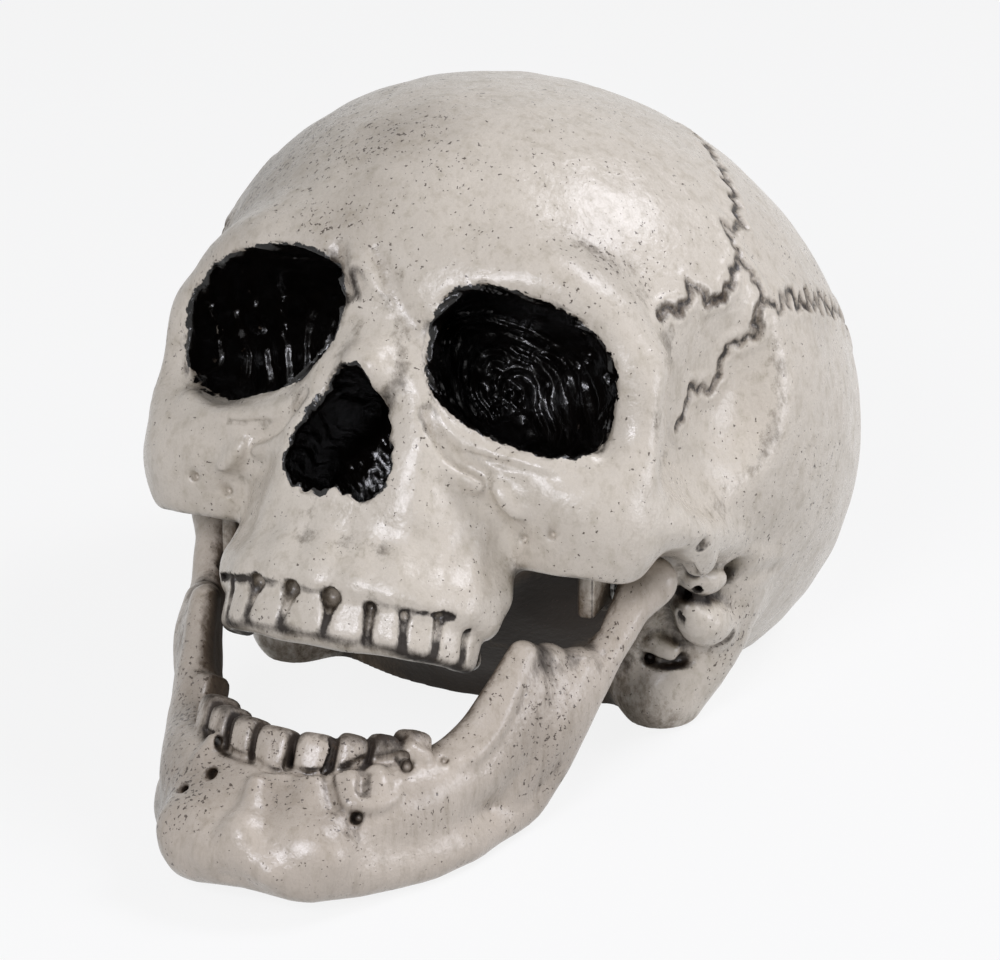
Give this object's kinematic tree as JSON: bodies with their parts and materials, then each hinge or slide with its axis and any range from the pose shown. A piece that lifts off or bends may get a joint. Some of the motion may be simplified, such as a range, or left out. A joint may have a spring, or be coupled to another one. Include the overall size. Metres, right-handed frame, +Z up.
{
  "type": "halloween skull decoration",
  "caption": "Life-size hollow plastic human skull, tilted back on a flat underside, with a jaw that hangs open and swings shut on pins.",
  "frame": {"origin": "on the table under the middle of the whole skull with its open jaw", "axes": "+Z up, face and jaw towards -Y, the skull's left side towards +X"},
  "size_m": [0.1548, 0.2508, 0.1459],
  "materials": {
    "bone_plastic": "satin gloss, brown wash in the recesses",
    "jaw_plastic": "satin gloss, brown wash in the recesses",
    "base_plastic": "moulded, unpainted",
    "steel": "zinc plated",
    "nylon": "moulded"
  },
  "bodies": {
    "skull": {"cranium_shell": "bone_plastic", "skull_base": "base_plastic", "base_screw_1": "steel", "base_screw_2": "steel", "base_screw_3": "steel", "base_screw_4": "steel", "base_screw_5": "steel", "base_screw_6": "steel", "pivot_pin_left": "steel", "pin_clip_left": "steel", "friction_washer_left": "steel", "pivot_pin_right": "steel", "pin_clip_right": "steel", "friction_washer_right": "steel"},
    "jaw": {"jaw": "jaw_plastic", "jaw_bush_left": "nylon", "jaw_bush_right": "nylon"}
  },
  "joints": [
    {"name": "jaw_hinge", "type": "hinge", "parent": "skull", "child": "jaw", "pos_m": [0, -0.02386, 0.04446], "axis": [1, 0, 0], "range_deg": [-16, 0]}
  ]
}
